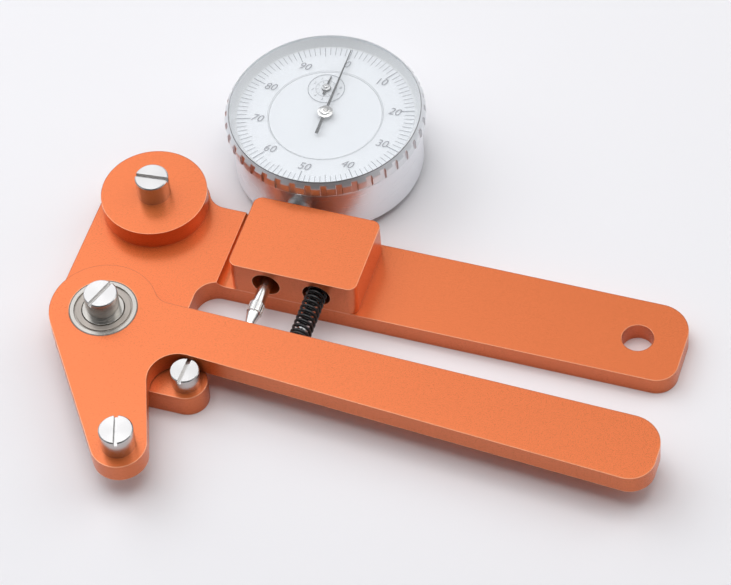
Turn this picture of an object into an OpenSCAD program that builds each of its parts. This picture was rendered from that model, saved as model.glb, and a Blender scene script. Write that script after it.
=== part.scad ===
// Spoke tension meter: a body plate with a handle arm, a spring-loaded lever on a ball bearing,
// three posts that bend the spoke, and a dial gauge that reads how far the lever stands open.
// The origin is on the lever's pivot axis at the resting face; +X runs along the handle arm.

/* [Body plate] */
// Thickness of the thick end of the plate
plate_t = 7.5; // [6.5:0.1:9]
// Thickness of the handle arm
arm_t = 5.9; // [5:0.1:6.4]
// Width of the handle arm
arm_w = 25.5; // [24:0.5:28]
// Distance from the pivot axis to the arm's front edge
arm_front = 21.1; // [20:0.1:23]
// Distance from the pivot axis to the arm's end
arm_end = 155; // [120:1:180]
// Corner radius at the arm's end, back edge
arm_corner_back = 9; // [5:0.5:11]
// Corner radius at the arm's end, front edge
arm_corner_front = 6; // [4:0.5:10]
// Distance from the pivot axis to the plate's left edge
plate_left = 16; // [15:0.5:18]
// Distance from the pivot axis to the right edge of the plate's neck
neck_right = 20.5; // [19:0.5:22]
// Where the thick end starts to slope down to the arm
step_x = 25; // [24:0.2:25.6]
// Radius of the slope between thick end and arm
step_r = 2.6; // [2:0.1:3]
// Radius of the inside corners of the plate
plate_fillet = 6; // [3:0.5:7]
// Diameter of the hole to hang the tool by
hang_d = 8.8; // [4:0.1:12]
// Distance of the hang hole from the arm's end
hang_in = 13; // [9:0.5:20]

/* [Posts] */
// Diameter of the three contact posts
post_d = 9.4; // [8.6:0.1:10]
// Height of the contact posts above what they stand on
post_h = 6.8; // [4:0.1:9]
// Diameter of the threaded shanks of the posts
post_shank_d = 5; // [3:0.5:6]
// Width of the screwdriver slots
slot_w = 1.1; // [0.6:0.1:1.6]
// Depth of the screwdriver slots
slot_depth = 1.2; // [0.5:0.1:2]
// Place of the far post, along the arm, from the pivot axis
disc_x = -0.5; // [-1:0.1:0.5]
// Place of the far post, across the arm, from the pivot axis
disc_y = 42.4; // [41:0.1:44]
// Diameter of the spacer disc under the far post
disc_d = 30; // [20:0.5:31]
// Thickness of the spacer disc
disc_t = 6; // [4:0.1:8]
// Diameter of the stop pin's head
stop_d = 8.2; // [6:0.1:9]
// Height of the stop pin's head above the plate
stop_h = 5.3; // [3:0.1:8]
// Place of the stop pin along the arm, from the pivot axis
stop_x = 28.3; // [26:0.1:30]
// Rim of the tab round the stop pin's head
tab_rim = 1.7; // [1:0.1:2.5]

/* [Lever] */
// Thickness of the lever
lever_t = 6; // [6:0.1:8]
// Outer radius of the lever round the bearing
boss_r = 15; // [13:0.5:15.5]
// Distance from the pivot axis to the handle's end
lever_end = 158.5; // [120:0.5:180]
// Back edge of the handle, measured across at the pivot axis
lever_back = 6.7; // [5.5:0.1:7.5]
// Angle of the handle's back edge to the arm
lever_back_angle = -1.3; // [-2:0.1:-0.5]
// Front edge of the handle, measured across at the pivot axis
lever_front = -7.3; // [-8:0.1:-6]
// Angle of the handle's front edge to the arm
lever_front_angle = -3.65; // [-4.5:0.05:-3]
// Place of the lever post along the arm, from the pivot axis
lever_post_x = 19.8; // [18:0.1:21]
// Place of the lever post across the arm, in front of the pivot axis
lever_post_y = -41.6; // [-45:0.1:-38]
// Radius of the leg's round end
leg_r = 7.6; // [7:0.1:9]
// Angle of the leg's right edge to the arm
leg_angle = -69.5; // [-72:0.5:-67]
// Radius of the inside corner between leg and handle
lever_fillet = 8; // [6:0.5:8.5]
// Radius of the inside corner between boss and handle
boss_fillet = 5.5; // [3:0.5:8]
// Corner radius at the handle's end, back edge
lever_corner_back = 9; // [5:0.5:10]
// Corner radius at the handle's end, front edge
lever_corner_front = 7; // [4:0.5:9]

/* [Bearing] */
// Outer diameter of the ball bearing
bearing_od = 19; // [18:0.5:20]
// Bore of the ball bearing
bearing_id = 8; // [7:0.5:8]
// Width of the ball bearing
bearing_w = 6; // [5:0.1:6]
// Diameter of the balls
ball_d = 3.16; // [2.6:0.02:3.2]
// Number of balls
ball_count = 7; // [5:1:8]
// Thickness of the washer between plate and bearing
washer_t = 0.3; // [0.2:0.1:0.8]

/* [Gauge block] */
// Width of the block along the arm
block_w = 36.8; // [34:0.2:42]
// Depth of the block across the arm
block_depth = 24.9; // [22:0.1:25]
// Height of the block above the arm
block_h = 11; // [10.2:0.1:14]
// Distance from the slope's foot to the block
block_gap = 1.6; // [1:0.1:3]
// Corner radius of the block seen from above
block_corner = 2.5; // [1:0.5:4]
// Distance from the block's left side to the axis of the gauge's stem
stem_in = 10.8; // [10:0.1:12]
// Distance from the block's left side to the axis of the spring hole
spring_in = 25.4; // [23:0.1:26]
// Height of both axes above the arm
axis_up = 5.3; // [5:0.1:5.6]
// Diameter of the spring hole
spring_hole_d = 8; // [7:0.1:8.4]
// Depth of the spring hole
spring_hole_depth = 12; // [8:0.5:20]
// Diameter of the screws under the block
block_screw_d = 4; // [3:0.5:4]

/* [Return spring] */
// Outer diameter of the return spring
spring_od = 6; // [5:0.1:6.2]
// Wire diameter of the return spring
spring_wire = 0.9; // [0.6:0.05:1]
// Rise of the spring a turn
spring_pitch = 1.6; // [1.5:0.05:2.2]

/* [Dial gauge] */
// Diameter of the gauge's case
case_d = 54; // [52:0.5:56]
// Wall of the gauge's case
case_wall = 2; // [1.5:0.1:2.5]
// Distance from the block to the case
case_gap = 3; // [2:0.1:5]
// Distance from the stem's axis down to the case's back
case_down = 8.4; // [7.6:0.1:9]
// Distance from the stem's axis up to the case's front shoulder
case_up = 6.2; // [6:0.1:7]
// How far the knurled bezel stands out past the case
bezel_over = 1.4; // [1.2:0.1:3]
// Height of the bezel
bezel_h = 6.4; // [6.2:0.1:8]
// Number of grooves round the bezel
groove_count = 40; // [20:1:60]
// Width of a bezel groove
groove_w = 1.8; // [1:0.1:2]
// Diameter of the stem
stem_d = 8; // [7:0.5:8]
// Length of the stem inside the block
stem_hold = 15; // [8:0.5:20]
// Diameter of the spindle
spindle_d = 3.5; // [3:0.1:4]
// Diameter of the knurled collar of the contact point
collar_d = 4.4; // [4:0.1:5.5]
// Length of the contact point
contact_len = 8.7; // [6:0.1:9]
// Radius of the fixed inner dial face
face_r = 16; // [14:0.5:18]
// Radius of the small counter dial's axis round the gauge's centre
train_r = 9.8; // [9.4:0.1:10.2]
// Distance of the counter shaft's axis from the spindle's axis
counter_off = 2.8; // [2.6:0.1:3]
// Length of the main pointer from its axis
pointer_len = 24; // [18:0.5:24.5]
// Length of the counter pointer from its axis
counter_len = 4.6; // [3:0.1:5]

/* [Hidden] */
$fn = 96;
fit = 0.03;        // radial gap of a press fit or a thread
run = 0.08;        // radial gap of a running fit
soft = 0.3;        // gap between neighbours that must stay apart
rest_gap = 0.1;    // gap between the lever and its stop pin
cut = 1;           // how far a cutting shape passes the surface
overlap = 0.01;    // how far a fillet's arc crosses the edges it joins, so that they meet cleanly
chamfer = 0.3;     // bevel round the posts' top edges
blind = 1.5;       // wall left under a blind hole in the plate
ring_sides = 6;    // sides of a spring's wire
curl_rings = 8;    // rings of a spring's wire in one turn

// Places on the plate
step_foot = step_x + sqrt(pow(step_r, 2) - pow(step_r - plate_t + arm_t, 2));
arm_back = arm_front + arm_w;
disc_at = [disc_x, disc_y];
plate_round_r = plate_left + disc_x;
pivot_round_r = plate_left - 1;
pivot_round_at = [pivot_round_r - plate_left, 2];
pivot_shank_d = 6;
stop_shank_d = 4;

// Places on the block
block_x = step_foot + block_gap;
block_back = arm_front + block_depth;
stem_x = block_x + stem_in;
spring_x = block_x + spring_in;
axis_z = arm_t + axis_up;
screw_xs = [(block_x + stem_x - stem_d / 2) / 2, (spring_x + spring_hole_d / 2 + block_x + block_w) / 2];
screw_y = (arm_front + block_back) / 2;
screw_head_h = block_screw_d / 2;
screw_grip = 7;
set_screw_y = block_back - stem_hold / 2;
set_screw_z = 1;

// Places on the lever
lever_z = plate_t + washer_t;
lever_top = lever_z + lever_t;
lever_post_at = [lever_post_x, lever_post_y];
leg_tilt = acos((boss_r - leg_r) / norm(lever_post_at));
leg_left = atan2(lever_post_y, lever_post_x) - leg_tilt;
stud_d = 3;
stud_out = 4;
stud_in = 6;
stop_y = front_edge(stop_x) - (stop_d / 2 + rest_gap) / cos(lever_front_angle);
tab_r = stop_d / 2 + tab_rim;
tab_left = 1;

// Places in the bearing
bearing_z = lever_z + bearing_w / 2;
bearing_top = lever_z + bearing_w;
ball_ring_r = (bearing_od + bearing_id) / 4;
race_gap = 2;
cage_w = 1.1;
race_r = ball_d / 2 + 0.04;
shield_t = 0.25;
shield_in = 0.1;
shield_drop = 0.4;
shield_seat_r = bearing_od / 2 - 1.35;

// Places in the gauge, measured from its centre axis
gauge_y = block_back + case_gap + case_d / 2;
case_r = case_d / 2;
cavity_r = case_r - case_wall;
back_z = axis_z - case_down;
cover_t = 1.2;
cover_r = cavity_r + case_wall / 3;
shoulder_z = axis_z + case_up;
wall_z = shoulder_z - 1.5;
neck_r = case_r - 1;
neck_h = 2.2;
bezel_r = case_r + bezel_over;
bezel_z = shoulder_z + 0.2;
bezel_top = bezel_z + bezel_h;
face_t = 0.6;
face_in = 2.4;
face_z = bezel_z + face_in;
scale_r = neck_r - 0.7;
crystal_t = 0.9;
crystal_z = bezel_top - crystal_t - 0.2;
crystal_r = bezel_r - 1.35;
band_z = bezel_z + 2;
band_top = bezel_top - 1.9;
rim_w = 0.15;
foot_in = 1.2;
groove_depth = 0.6;
groove_turn = -0.9;
retainer_r = 0.3;
retainer_z = bezel_z + 1;
column_r = 2.3;
column_at = cavity_r - 2;
cover_screw_d = 1.8;
cover_screw_len = 5;
cover_slot = 0.4;
flange_t = 1;
flange_over = 0.4;
bush_r = 3.5;
bush_out = 0.6;
bush_neck_r = 2.6;
bush_neck_len = 3;
cap_wall = 0.8;
cap_len = 6.7;
cap_depth = 5.5;

// Levels and places of the movement
bridge_down = 4.2;
bridge_z = axis_z - bridge_down;
bridge_t = 1.2;
bridge_r = column_at - column_r - soft;
train_z = axis_z + spindle_d / 2 + 0.25;
train_t = 0.8;
wheel_z = train_z + train_t + 0.4;
wheel_t = 0.5;
shaft_r = 0.75;
pivot_r = 0.4;
counter_at = [-counter_off, sqrt(pow(train_r, 2) - pow(counter_off, 2))];
take_up_at = train_r * [cos(-26), sin(-26)];
tooth_h = 0.34;
pinion_r = 1.45;
pinion_teeth = 16;
pinion_h = 2.4;
centre_r = 0.98;
centre_teeth = 10;
mesh_gap = 0.08;
wheel_r = train_r - centre_r - mesh_gap;
wheel_teeth = 100;
rack_pitch = 0.625;
rack_x = pinion_r + mesh_gap - counter_off;
pillars_at = [[-12.3, 0], [10.7, 10], [5.7, -15.5]];
pillar_r = 2;
pillar_neck_r = 1.2;
pillar_in = 0.7;
bridge_screw_r = 0.9;
bridge_screw_in = 2.3;
bridge_screw_head = 0.8;
guide_y = -6;
guide_r = 0.6;
guide_out = 7.6;
rail_x = -5.4;
rail_t = 1;
rail_before = 5;
rail_len = 18;
rail_slot = 10;
anchor_x = -7;
anchor_in = 1.1;
anchor_at = [anchor_x, -sqrt(pow(bridge_r - anchor_in, 2) - pow(anchor_x, 2))];
tip_r = 1.25;
tip_shank_r = 1.25;
tip_shank_len = 3.5;
tip_gap = 0.05;
tip_y = back_edge(stem_x) + tip_gap;
spindle_y = tip_y + contact_len;
spindle_end = gauge_y + cavity_r + soft;
pointer_z = face_z + 1.9;
pointer_tail = 8;
pointer_t = 0.2;
counter_z = face_z + face_t + soft;
counter_tail = 2.4;

orange = "#e8743b";
steel = "#c9ccd0";
brass = "#c8a75a";

// Y of the handle's edges at a distance along the arm
function back_edge(x) = lever_back + x * tan(lever_back_angle);
function front_edge(x) = lever_front + x * tan(lever_front_angle);

function polar(r, a) = [r * cos(a), r * sin(a)];

// Where the line through p at angle a meets the line through q at angle b
function meet(p, a, q, b) =
    p + polar(((q[0] - p[0]) * sin(b) - (q[1] - p[1]) * cos(b)) / sin(b - a), a);

// Where a line from point q touches the circle round c, on its clockwise side
function touch(c, r, q) = c + polar(r, atan2(q[1] - c[1], q[0] - c[0]) - acos(r / norm(q - c)));

// Centre of the arc of radius r that joins a disc of radius big to an edge on its right, which
// runs at angle turn and passes the disc's centre at distance h
function fillet_at(big, h, r, turn = 0) = polar(big + r, turn + asin((h + r) / (big + r)));

// The area between a corner, whose edges leave it at angles a and b, and the arc that rounds it
module corner_patch(corner, a, b, r) {
    half = abs(b - a) / 2;
    centre = corner + polar(r / sin(half), (a + b) / 2);
    difference() {
        polygon([corner, corner + polar(r / tan(half), a), centre, corner + polar(r / tan(half), b)]);
        translate(centre) circle(r + overlap);
    }
}

module rounded_rect(w, d, r) {
    difference() {
        square([w, d]);
        corner_patch([0, 0], 0, 90, r);
        corner_patch([w, 0], 90, 180, r);
        corner_patch([w, d], 180, 270, r);
        corner_patch([0, d], 270, 360, r);
    }
}

module tube(r, bore, h) {
    difference() {
        cylinder(r = r, h = h);
        translate([0, 0, -cut]) cylinder(r = bore, h = h + 2 * cut);
    }
}

// A cylinder that starts at y and runs along +Y
module rod_y(r, y, length) {
    translate([0, y, 0]) rotate([-90, 0, 0]) cylinder(r = r, h = length);
}

// A toothed disc, whose teeth reach from radius r - tooth_h to r
module toothed(r, teeth, h) {
    corners = [for (i = [0 : 4 * teeth - 1]) polar(i % 4 < 2 ? r : r - tooth_h, (i - 0.5) * 90 / teeth)];
    linear_extrude(h) polygon(corners);
}

// A post's head with a beveled top and a screwdriver slot, standing on z = 0
module slotted_head(d, h, slot_angle) {
    difference() {
        rotate_extrude()
            polygon([[0, 0], [d / 2, 0], [d / 2, h - chamfer], [d / 2 - chamfer, h], [0, h]]);
        rotate(slot_angle) translate([-d, -slot_w / 2, h - slot_depth])
            cube([2 * d, slot_w, slot_depth + cut]);
    }
}

module shank(d, length) {
    translate([0, 0, -length]) cylinder(r = d / 2 - fit, h = length);
}

// Wire of a spring round the Y axis: ring i of the tube, one turn every curl_rings
function wire_ring(i, coil_r, wire, pitch, y) =
    let (a = i * 360 / curl_rings,
         lead = atan2(pitch, 360 * PI / 180 * coil_r),
         out = [cos(a), 0, sin(a)],
         up = [sin(a) * sin(lead), cos(lead), -cos(a) * sin(lead)],
         centre = coil_r * out + [0, y + i * pitch / curl_rings, 0])
    [for (k = [0 : ring_sides - 1])
        centre + wire / 2 * (cos(k * 360 / ring_sides) * out + sin(k * 360 / ring_sides) * up)];

// Least distance between a wire ring's points and those of the rings one turn further on
function wire_gap(coil_r, wire, pitch) =
    let (here = wire_ring(0, coil_r, wire, pitch, 0))
    min([for (j = [curl_rings - 1 : curl_rings + 1], p = here, q = wire_ring(j, coil_r, wire, pitch, 0))
        norm(p - q)]);

// A spring from y to y_end with whole turns near the asked pitch, as one unbroken tube
module spring(od, wire, pitch, y, y_end, name) {
    length = y_end - y - wire;
    turns = max(1, floor(length / pitch));
    rings = turns * curl_rings;
    rise = length / turns;
    coil_r = (od - wire) / 2;
    points = [for (i = [0 : rings], p = wire_ring(i, coil_r, wire, rise, y + wire / 2)) p];
    sides = [for (i = [0 : rings - 1], k = [0 : ring_sides - 1])
        let (a = i * ring_sides + k, b = i * ring_sides + (k + 1) % ring_sides)
        each [[a, b, a + ring_sides], [b, b + ring_sides, a + ring_sides]]];
    last = rings * ring_sides;
    ends = [for (k = [1 : ring_sides - 2]) each [[0, k + 1, k], [last, last + k, last + k + 1]]];
    polyhedron(points, concat(sides, ends));
    echo(str(name, ": ", turns, " turns, least gap ", wire_gap(coil_r, wire, rise), " mm"));
}

module plate_outline() {
    tab_front = stop_y - tab_r;
    tab_back = stop_y + tab_r;
    corner = [tab_left, tab_front];
    difference() {
        union() {
            translate(disc_at) circle(plate_round_r);
            translate(pivot_round_at) circle(pivot_round_r);
            translate([-plate_left, pivot_round_at[1]])
                square([plate_left + neck_right, disc_y - pivot_round_at[1]]);
            translate([disc_x, arm_front]) square([arm_end - disc_x, arm_w]);
            polygon([pivot_round_at, touch(pivot_round_at, pivot_round_r, corner), corner,
                [stop_x, tab_front], [stop_x, tab_back], [neck_right, tab_back],
                [neck_right, pivot_round_at[1]]]);
            translate([stop_x, stop_y]) circle(tab_r);
            corner_patch([neck_right, tab_back], 0, 90, plate_fillet / 2);
            corner_patch([neck_right, arm_front], -90, 0, plate_fillet);
        }
        corner_patch([arm_end, arm_back], 180, 270, arm_corner_back);
        corner_patch([arm_end, arm_front], 90, 180, arm_corner_front);
    }
}

// A blind hole in the plate's top face
module plate_hole(at, d) {
    translate([at[0], at[1], blind]) cylinder(d = d, h = plate_t);
}

// Everything above the arm's top face, with the slope's round foot
module arm_step() {
    translate([step_foot, arm_front - cut, arm_t]) cube([arm_end, arm_w + 2 * cut, plate_t]);
    translate([step_foot, 0, arm_t + step_r]) rod_y(step_r, arm_front - cut, arm_w + 2 * cut);
}

module screw_hole(x) {
    translate([x, screw_y, 0]) {
        translate([0, 0, -cut]) cylinder(r = block_screw_d / 2 + soft, h = plate_t + 2 * cut);
        translate([0, 0, -cut])
            cylinder(r1 = block_screw_d + fit + cut, r2 = block_screw_d / 2 + fit, h = screw_head_h + cut);
    }
}

module body_plate() {
    corner = fillet_at(plate_round_r, arm_back - disc_y, plate_fillet);
    color(orange) difference() {
        union() {
            linear_extrude(plate_t) plate_outline();
            translate([disc_x, disc_y, 0]) linear_extrude(plate_t) polygon([[0, 0], corner, [corner[0], 0]]);
        }
        translate([disc_x + corner[0], disc_y + corner[1], -cut])
            cylinder(r = plate_fillet + overlap, h = plate_t + 2 * cut);
        arm_step();
        plate_hole(disc_at, post_shank_d);
        plate_hole([0, 0], pivot_shank_d);
        plate_hole([stop_x, stop_y], stop_shank_d);
        for (x = screw_xs) screw_hole(x);
        translate([stem_x, set_screw_y, -cut]) cylinder(d = block_screw_d, h = plate_t + 2 * cut);
        translate([arm_end - hang_in, (arm_front + arm_back) / 2, -cut])
            cylinder(d = hang_d, h = plate_t + 2 * cut);
    }
}

module gauge_block() {
    color(orange) difference() {
        translate([block_x, arm_front, arm_t])
            linear_extrude(block_h) rounded_rect(block_w, block_depth, block_corner);
        translate([stem_x, 0, axis_z]) rod_y(stem_d / 2 + fit, arm_front - cut, block_depth + 2 * cut);
        translate([spring_x, 0, axis_z]) rod_y(spring_hole_d / 2, arm_front - cut, spring_hole_depth + cut);
        for (x = screw_xs)
            translate([x, screw_y, arm_t - cut]) cylinder(d = block_screw_d, h = screw_grip + cut + soft);
        translate([stem_x, set_screw_y, arm_t - cut]) cylinder(d = block_screw_d, h = axis_up + cut);
    }
}

module block_screws() {
    color(steel) for (x = screw_xs) translate([x, screw_y, 0]) difference() {
        union() {
            cylinder(r1 = block_screw_d, r2 = block_screw_d / 2, h = screw_head_h);
            cylinder(r = block_screw_d / 2 - fit, h = arm_t + screw_grip);
        }
        translate([0, 0, -cut]) cylinder(d = block_screw_d * 0.72, h = screw_head_h * 0.7 + cut, $fn = 6);
    }
}

module stem_set_screw() {
    length = axis_z - stem_d / 2 - fit - set_screw_z;
    color(steel) translate([stem_x, set_screw_y, set_screw_z]) difference() {
        cylinder(r = block_screw_d / 2 - fit, h = length);
        translate([0, 0, -cut]) cylinder(d = block_screw_d * 0.57, h = length / 3 + cut, $fn = 6);
    }
}

module spacer_disc() {
    color(orange) translate([disc_x, disc_y, plate_t]) tube(disc_d / 2, post_shank_d / 2 + run, disc_t);
}

module disc_post() {
    color(steel) translate([disc_x, disc_y, plate_t + disc_t]) {
        slotted_head(post_d, post_h, 5);
        shank(post_shank_d, disc_t + plate_t - blind - soft);
    }
}

module pivot_post() {
    color(steel) {
        translate([0, 0, bearing_top]) slotted_head(post_d, post_h, 70);
        translate([0, 0, bearing_top]) shank(bearing_id, bearing_top - plate_t);
        translate([0, 0, plate_t]) shank(pivot_shank_d, plate_t - blind - soft);
    }
}

module pivot_washer() {
    color(steel) translate([0, 0, plate_t]) tube(bearing_id / 2 + 1.2, bearing_id / 2 + run, washer_t);
}

module stop_pin() {
    color(steel) translate([stop_x, stop_y, plate_t]) {
        slotted_head(stop_d, stop_h, 88);
        shank(stop_shank_d, plate_t - blind - soft);
    }
}

module lever_outline() {
    leg_right = leg_angle + 90;
    tip_right = lever_post_at + polar(leg_r, leg_right);
    inner = meet(tip_right, leg_angle, [0, lever_front], lever_front_angle);
    end_back = [lever_end, back_edge(lever_end)];
    end_front = [lever_end, front_edge(lever_end)];
    difference() {
        union() {
            circle(boss_r);
            translate(lever_post_at) circle(leg_r);
            polygon([[0, 0], polar(boss_r, leg_left), lever_post_at + polar(leg_r, leg_left), lever_post_at,
                tip_right, inner, end_front, end_back, [0, lever_back]]);
            corner_patch(inner, leg_angle, lever_front_angle, lever_fillet);
        }
        corner_patch(end_back, 180 + lever_back_angle, 270, lever_corner_back);
        corner_patch(end_front, 90, 180 + lever_front_angle, lever_corner_front);
    }
}

// The stud's own frame: on the handle's back edge, +Y away from the lever
module at_stud() {
    translate([spring_x, back_edge(spring_x), axis_z]) rotate(lever_back_angle) children();
}

module lever() {
    corner = fillet_at(boss_r, lever_back * cos(lever_back_angle), boss_fillet, lever_back_angle);
    color(orange) difference() {
        translate([0, 0, lever_z]) {
            linear_extrude(lever_t) lever_outline();
            linear_extrude(lever_t) polygon([[0, 0], corner, [corner[0], 0]]);
        }
        translate([corner[0], corner[1], lever_z - cut])
            cylinder(r = boss_fillet + overlap, h = lever_t + 2 * cut);
        translate([0, 0, lever_z - cut]) cylinder(r = bearing_od / 2 + fit, h = lever_t + 2 * cut);
        translate([lever_post_x, lever_post_y, lever_z - cut])
            cylinder(d = post_shank_d, h = lever_t + 2 * cut);
        at_stud() rod_y(stud_d / 2, -stud_in, stud_in + cut);
    }
}

module lever_post() {
    color(steel) translate([lever_post_x, lever_post_y, lever_top]) {
        slotted_head(post_d, post_h, 108);
        shank(post_shank_d, lever_t - soft);
    }
}

module spring_stud() {
    color(steel) at_stud() rod_y(stud_d / 2 - fit, soft - stud_in, stud_out + stud_in - soft);
}

module return_spring() {
    color("#1c1c1e") translate([spring_x, 0, axis_z])
        spring(spring_od, spring_wire, spring_pitch, back_edge(spring_x) + soft / 2,
            arm_front + spring_hole_depth - soft / 2, "return spring");
}

module bearing_outer_ring() {
    seat_z = bearing_w / 2 - shield_in - shield_drop - shield_t;
    color(steel) translate([0, 0, bearing_z]) rotate_extrude() difference() {
        translate([ball_ring_r + race_gap / 2, -bearing_w / 2])
            square([(bearing_od - 2 * ball_ring_r - race_gap) / 2, bearing_w]);
        for (side = [0, 1]) mirror([0, side]) translate([ball_ring_r, seat_z])
            square([shield_seat_r - ball_ring_r, bearing_w]);
        translate([ball_ring_r, 0]) circle(race_r);
    }
}

module bearing_inner_ring() {
    color(steel) translate([0, 0, bearing_z]) rotate_extrude() difference() {
        translate([bearing_id / 2, -bearing_w / 2])
            square([ball_ring_r - race_gap / 2 - bearing_id / 2, bearing_w]);
        translate([ball_ring_r, 0]) circle(race_r);
    }
}

module bearing_balls() {
    color(steel) translate([0, 0, bearing_z])
        for (i = [0 : ball_count - 1]) rotate(i * 360 / ball_count)
            translate([ball_ring_r, 0, 0]) sphere(d = ball_d);
}

module bearing_cage() {
    color(brass) translate([0, 0, bearing_z]) difference() {
        translate([0, 0, -ball_d / 2 - shield_t])
            tube(ball_ring_r + cage_w / 2, ball_ring_r - cage_w / 2, ball_d + 2 * shield_t);
        for (i = [0 : ball_count - 1]) rotate([0, 90, i * 360 / ball_count])
            cylinder(r = ball_d / 2 + run, h = bearing_od / 2);
    }
}

module bearing_shields() {
    top = bearing_w / 2 - shield_in;
    low = top - shield_drop;
    inner = ball_ring_r - race_gap / 2 + shield_t;
    bend = shield_seat_r - 0.55;
    outer = shield_seat_r - fit;
    color("#d8d8d2") translate([0, 0, bearing_z]) for (side = [0, 1]) mirror([0, 0, side])
        rotate_extrude() polygon([[inner, top - shield_t], [bend - shield_t, top - shield_t],
            [bend - shield_t, low - shield_t], [outer, low - shield_t], [outer, low], [bend, low],
            [bend, top], [inner, top]]);
}

// The gauge's own frame: its centre axis
module at_gauge(z = 0) {
    translate([stem_x, gauge_y, z]) children();
}

module retainer(r) {
    translate([0, 0, retainer_z]) rotate_extrude() translate([neck_r, 0]) circle(r, $fn = 24);
}

module case_columns(r, z, h) {
    for (a = [45 : 90 : 315]) rotate(a) translate([column_at, 0, z]) cylinder(r = r, h = h);
}

module gauge_case() {
    boss_top = face_z;
    color("#d5d7da") at_gauge() difference() {
        union() {
            difference() {
                translate([0, 0, back_z]) cylinder(r = case_r, h = shoulder_z - back_z);
                translate([0, 0, back_z - cut]) cylinder(r = cavity_r, h = wall_z - back_z + cut);
                translate([0, 0, back_z - cut]) cylinder(r = cover_r + run, h = cover_t + fit + cut);
            }
            translate([0, 0, shoulder_z - fit]) tube(neck_r, neck_r - 1.1, neck_h + fit);
            translate([0, 0, shoulder_z - fit]) cylinder(r = face_r - 0.5, h = boss_top - shoulder_z + fit);
            case_columns(column_r, back_z + cover_t + fit, wall_z - back_z - cover_t);
        }
        case_columns(cover_screw_d / 2, back_z, cover_screw_len + 2);
        translate([0, 0, axis_z]) rod_y(stem_d / 2 + fit, -case_r - cut, case_wall + 2 + cut);
        translate([0, 0, axis_z]) rod_y(bush_r + fit, cavity_r - 2, case_wall + 2 + cut);
        translate([0, 0, wall_z - cut]) cylinder(r = shaft_r + run, h = boss_top - wall_z + 2 * cut);
        translate([counter_at[0], counter_at[1], wall_z - cut])
            cylinder(r = shaft_r + run, h = boss_top - wall_z + 2 * cut);
        translate([take_up_at[0], take_up_at[1], wall_z - cut]) cylinder(r = pivot_r + run, h = 2 * cut);
        for (p = pillars_at) translate([p[0], p[1], wall_z - cut])
            cylinder(r = pillar_neck_r + fit, h = pillar_in + soft + cut);
        retainer(retainer_r + fit);
    }
}

module gauge_stem() {
    front = block_back - stem_hold - gauge_y;
    flange = sqrt(pow(cavity_r, 2) - pow(stem_d / 2 + flange_over, 2)) - fit;
    color(steel) at_gauge(axis_z) difference() {
        union() {
            rod_y(stem_d / 2, front, -flange - front);
            rod_y(stem_d / 2 + flange_over, -flange, flange_t);
        }
        rod_y(spindle_d / 2 + run, front - cut, case_r + stem_hold);
    }
}

module upper_bush() {
    flange = sqrt(pow(cavity_r, 2) - pow(bush_r + flange_over, 2)) - fit;
    color(steel) at_gauge(axis_z) difference() {
        union() {
            rod_y(bush_r + flange_over, flange - flange_t, flange_t);
            rod_y(bush_r, flange, case_r + bush_out - flange);
            rod_y(bush_neck_r, flange, case_r + bush_out + bush_neck_len - flange);
        }
        rod_y(spindle_d / 2 + run, flange - flange_t - cut, case_r);
    }
}

module dust_cap() {
    start = case_r + bush_out + 0.1;
    color("#d5d7da") at_gauge(axis_z) difference() {
        rod_y(bush_neck_r + cap_wall, start, cap_len);
        rod_y(bush_neck_r + fit, start - cut, cap_depth + cut);
    }
}

module back_cover() {
    color("#d5d7da") at_gauge() difference() {
        translate([0, 0, back_z]) cylinder(r = cover_r, h = cover_t);
        case_columns(cover_screw_d / 2 + run, back_z - cut, cover_t + 2 * cut);
        for (a = [45 : 90 : 315]) rotate(a) translate([column_at, 0, back_z - fit])
            cylinder(r1 = cover_screw_d + run + fit, r2 = cover_screw_d / 2 + run,
                h = cover_screw_d / 2 + fit);
    }
}

module back_screws() {
    color(steel) at_gauge(back_z) for (a = [45 : 90 : 315]) rotate(a) translate([column_at, 0, 0])
        difference() {
            union() {
                cylinder(r1 = cover_screw_d, r2 = cover_screw_d / 2 - fit, h = cover_screw_d / 2);
                cylinder(r = cover_screw_d / 2 - fit, h = cover_screw_len);
            }
            translate([-cover_screw_d, -cover_slot / 2, -cut])
                cube([2 * cover_screw_d, cover_slot, cut + cover_slot]);
        }
}

module spindle() {
    travel = 9;
    color(steel) difference() {
        translate([stem_x, 0, axis_z]) rod_y(spindle_d / 2, spindle_y, spindle_end - spindle_y);
        at_gauge(axis_z) {
            translate([rack_x - spindle_d, counter_at[1] - travel, -spindle_d])
                cube([spindle_d, travel + 2, 2 * spindle_d]);
            for (i = [0 : floor(travel / rack_pitch)])
                translate([rack_x - cut, counter_at[1] - i * rack_pitch - 0.15, -spindle_d])
                    cube([cut + tooth_h, 0.3, 2 * spindle_d]);
            translate([-spindle_d, guide_y, 0]) rotate([0, 90, 0]) cylinder(r = guide_r, h = spindle_d);
        }
        translate([stem_x, 0, axis_z]) rod_y(tip_shank_r, spindle_y - cut, tip_shank_len + soft + cut);
    }
}

module contact_point() {
    collar_y = tip_y + contact_len / 2;
    body_r = collar_d / 2 - 0.3;
    end = 0.6;
    groove = 0.3;
    grooves = 16;
    color(steel) translate([stem_x, 0, axis_z]) difference() {
        union() {
            translate([0, tip_y + tip_r, 0]) sphere(tip_r);
            translate([0, tip_y + tip_r, 0]) rotate([-90, 0, 0])
                cylinder(r1 = tip_r, r2 = body_r, h = contact_len / 2 - tip_r);
            rod_y(body_r, collar_y, contact_len / 2);
            rod_y(collar_d / 2, collar_y + end, contact_len / 2 - 2 * end);
            rod_y(tip_shank_r - fit, spindle_y - cut, tip_shank_len + cut);
        }
        for (i = [0 : grooves - 1]) rotate([0, i * 360 / grooves, 0])
            translate([(collar_d - groove) / 2, collar_y + end - 0.1, -groove / 2])
                cube([groove, contact_len / 2 - 2 * end + 0.2, groove]);
    }
}

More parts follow.
